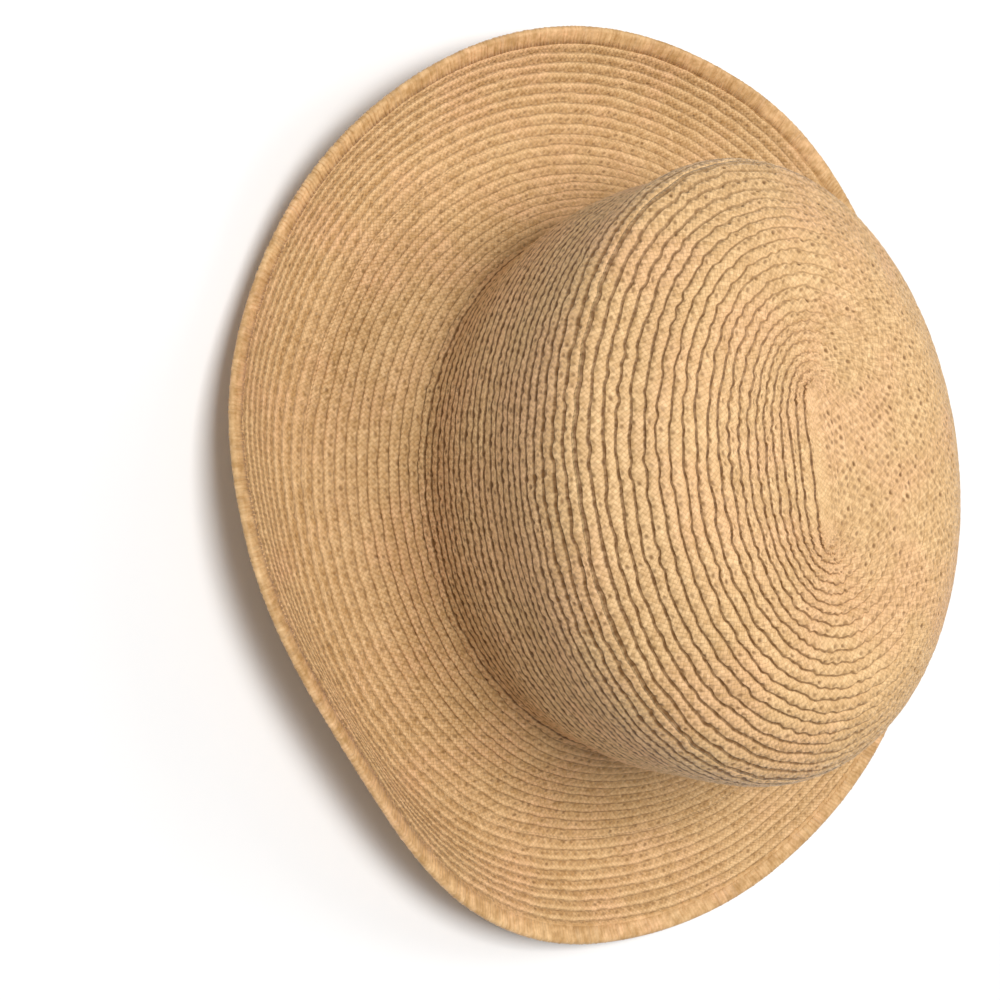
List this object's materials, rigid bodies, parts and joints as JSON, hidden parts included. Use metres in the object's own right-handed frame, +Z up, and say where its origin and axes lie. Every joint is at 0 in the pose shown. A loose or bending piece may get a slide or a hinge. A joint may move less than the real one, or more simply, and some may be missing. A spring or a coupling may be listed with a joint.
{
  "type": "round-crowned sewn straw braid sun hat",
  "caption": "Sun hat of sewn straw braid with a shallow domed crown and a wide wavy brim that turns up near its rim.",
  "frame": {"origin": "on the floor that the hat rests on, under the middle of its bounding box", "axes": "+Z up out of the crown, -Y to the front, the crown's long axis along Y"},
  "size_m": [0.332, 0.3402, 0.1451],
  "materials": {
    "crown_straw": "matte woven straw braid",
    "brim_straw": "matte woven straw braid",
    "edge_straw": "matte woven straw braid"
  },
  "bodies": {
    "root": {"crown": "crown_straw", "brim": "brim_straw", "brim_edge": "edge_straw"}
  },
  "joints": []
}
